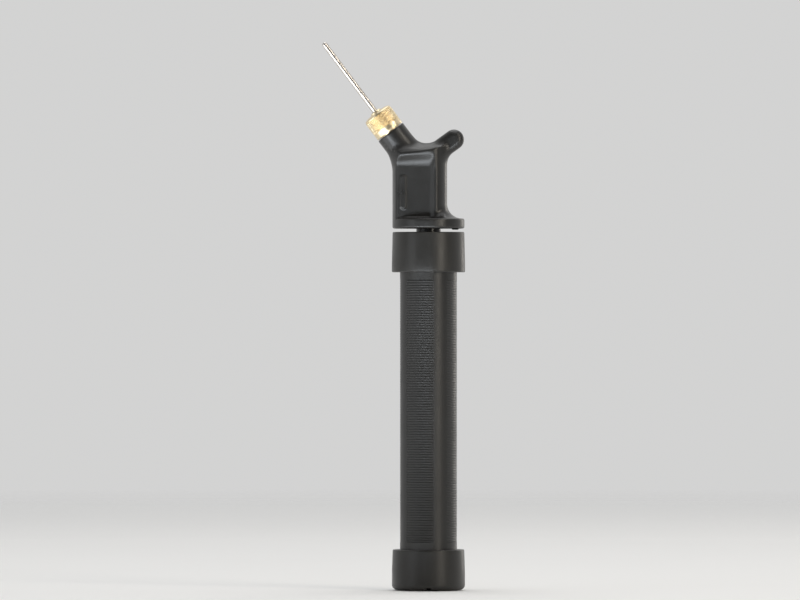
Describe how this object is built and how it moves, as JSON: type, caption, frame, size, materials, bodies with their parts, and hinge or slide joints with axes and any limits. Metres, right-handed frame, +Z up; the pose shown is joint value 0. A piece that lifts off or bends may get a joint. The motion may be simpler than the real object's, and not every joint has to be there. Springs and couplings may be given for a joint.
{
  "type": "ball inflation pump",
  "caption": "Slim double-action hand pump: ribbed barrel sliding on a hollow rod, angled handle, and a needle held by a knurled union nut.",
  "frame": {"origin": "middle of the bottom cap's flat base, on the barrel's axis", "axes": "+Z up the barrel to the handle; the needle leans from +Z towards -X; front and back face -Y and +Y"},
  "size_m": [0.0568, 0.0292, 0.2173],
  "materials": {
    "barrel_plastic": "satin, finely ribbed",
    "cap_plastic": "satin",
    "handle_plastic": "satin",
    "rod_plastic": "smooth",
    "inner_plastic": "smooth moulded",
    "seal_rubber": "soft matt",
    "nut_brass": "turned and knurled",
    "needle_steel": "nickel plated",
    "bright_steel": "polished"
  },
  "bodies": {
    "barrel": {"barrel_tube": "barrel_plastic", "bottom_cap": "cap_plastic", "bottom_gasket": "seal_rubber", "bottom_inlet_valve": "seal_rubber", "barrel_collar": "cap_plastic", "top_gasket": "seal_rubber", "rod_bush": "inner_plastic", "rod_seal": "seal_rubber", "seal_retainer": "inner_plastic"},
    "piston_ring": {"piston_seal_ring": "seal_rubber"},
    "handle": {"handle_body": "handle_plastic", "piston_rod": "rod_plastic", "piston_head": "inner_plastic", "valve_spool": "inner_plastic", "delivery_sleeve": "seal_rubber", "delivery_spring": "bright_steel", "handle_washer": "seal_rubber", "outlet_spigot": "nut_brass", "outlet_washer": "seal_rubber"},
    "check_ball": {"delivery_ball": "bright_steel"},
    "needle": {"needle_base": "nut_brass", "needle_tube": "needle_steel"},
    "union_nut": {"knurled_nut": "nut_brass"}
  },
  "joints": [
    {"name": "pump_stroke", "type": "slide", "parent": "barrel", "child": "piston_ring", "axis": [0, 0, 1], "range_m": [-0.0008, 0.105]},
    {"name": "handle_turn", "type": "hinge", "parent": "piston_ring", "child": "handle", "pos_m": [0, 0, 0.1], "axis": [0, 0, 1], "continuous": true},
    {"name": "check_ball_lift", "type": "slide", "parent": "handle", "child": "check_ball", "axis": [0, 0, 1], "range_m": [0, 0.0007], "stiffness_N_per_m": 60, "springref_m": -0.002, "deforming": ["delivery_spring"]},
    {"name": "needle_release", "type": "slide", "parent": "handle", "child": "needle", "axis": [-0.6018, 0, 0.7986], "range_m": [0, 0.005]},
    {"name": "nut_unscrew", "type": "hinge", "parent": "needle", "child": "union_nut", "pos_m": [-0.01745, 0, 0.18491], "axis": [-0.6018, 0, 0.7986], "range_deg": [0, 1800]}
  ],
  "couplings": [
    {"joint": "needle_release", "follows": "nut_unscrew", "m_per_rad": 0.00015915}
  ]
}
